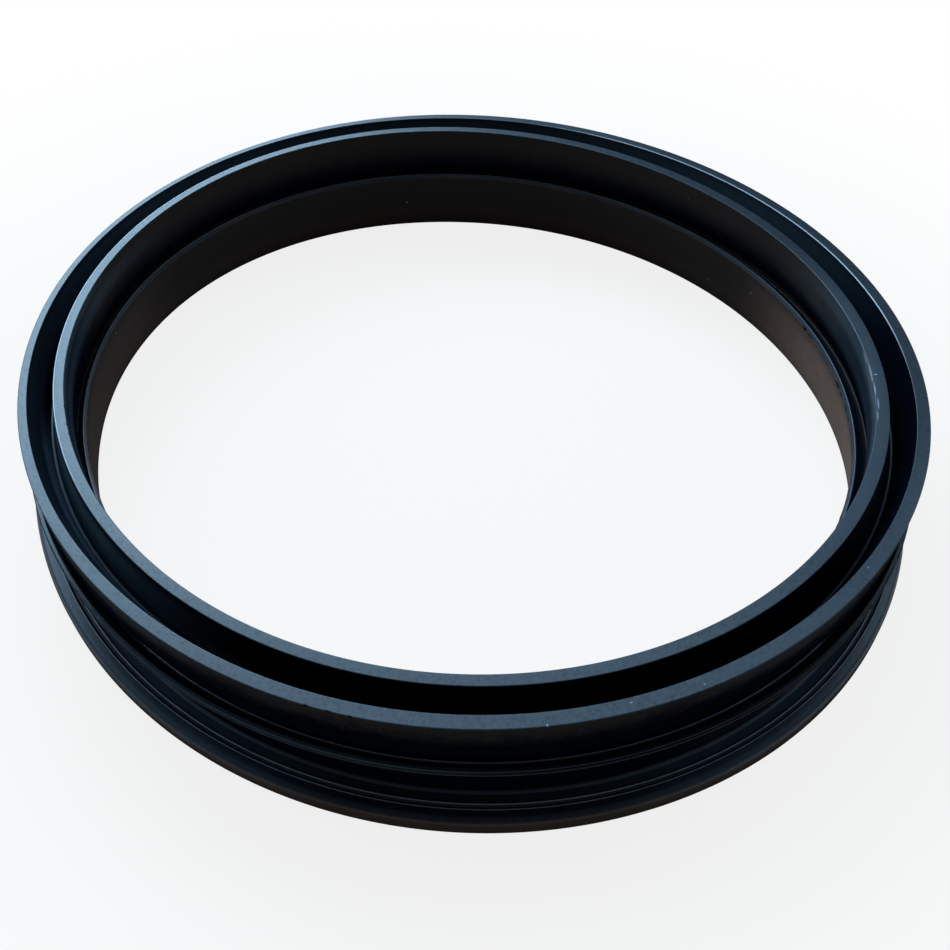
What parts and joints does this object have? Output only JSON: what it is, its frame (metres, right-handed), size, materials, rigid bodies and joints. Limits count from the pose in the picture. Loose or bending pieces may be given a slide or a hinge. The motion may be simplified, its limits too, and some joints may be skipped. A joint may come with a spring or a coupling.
{
  "type": "profile seal ring",
  "caption": "Moulded rubber ring with upright sealing lips, a V groove between them, side barbs and a flanged foot, used to seal a round cover or insert in a neck.",
  "frame": {"origin": "on the ring's axis, in the plane of the foot's flat underside", "axes": "+Z along the ring's axis, from the foot to the lips; +X and +Y in the plane of the ring"},
  "size_m": [0.1356, 0.1356, 0.0202],
  "materials": {
    "black_rubber": "satin, as moulded"
  },
  "bodies": {
    "root": {"seal_ring": "black_rubber"}
  },
  "joints": []
}
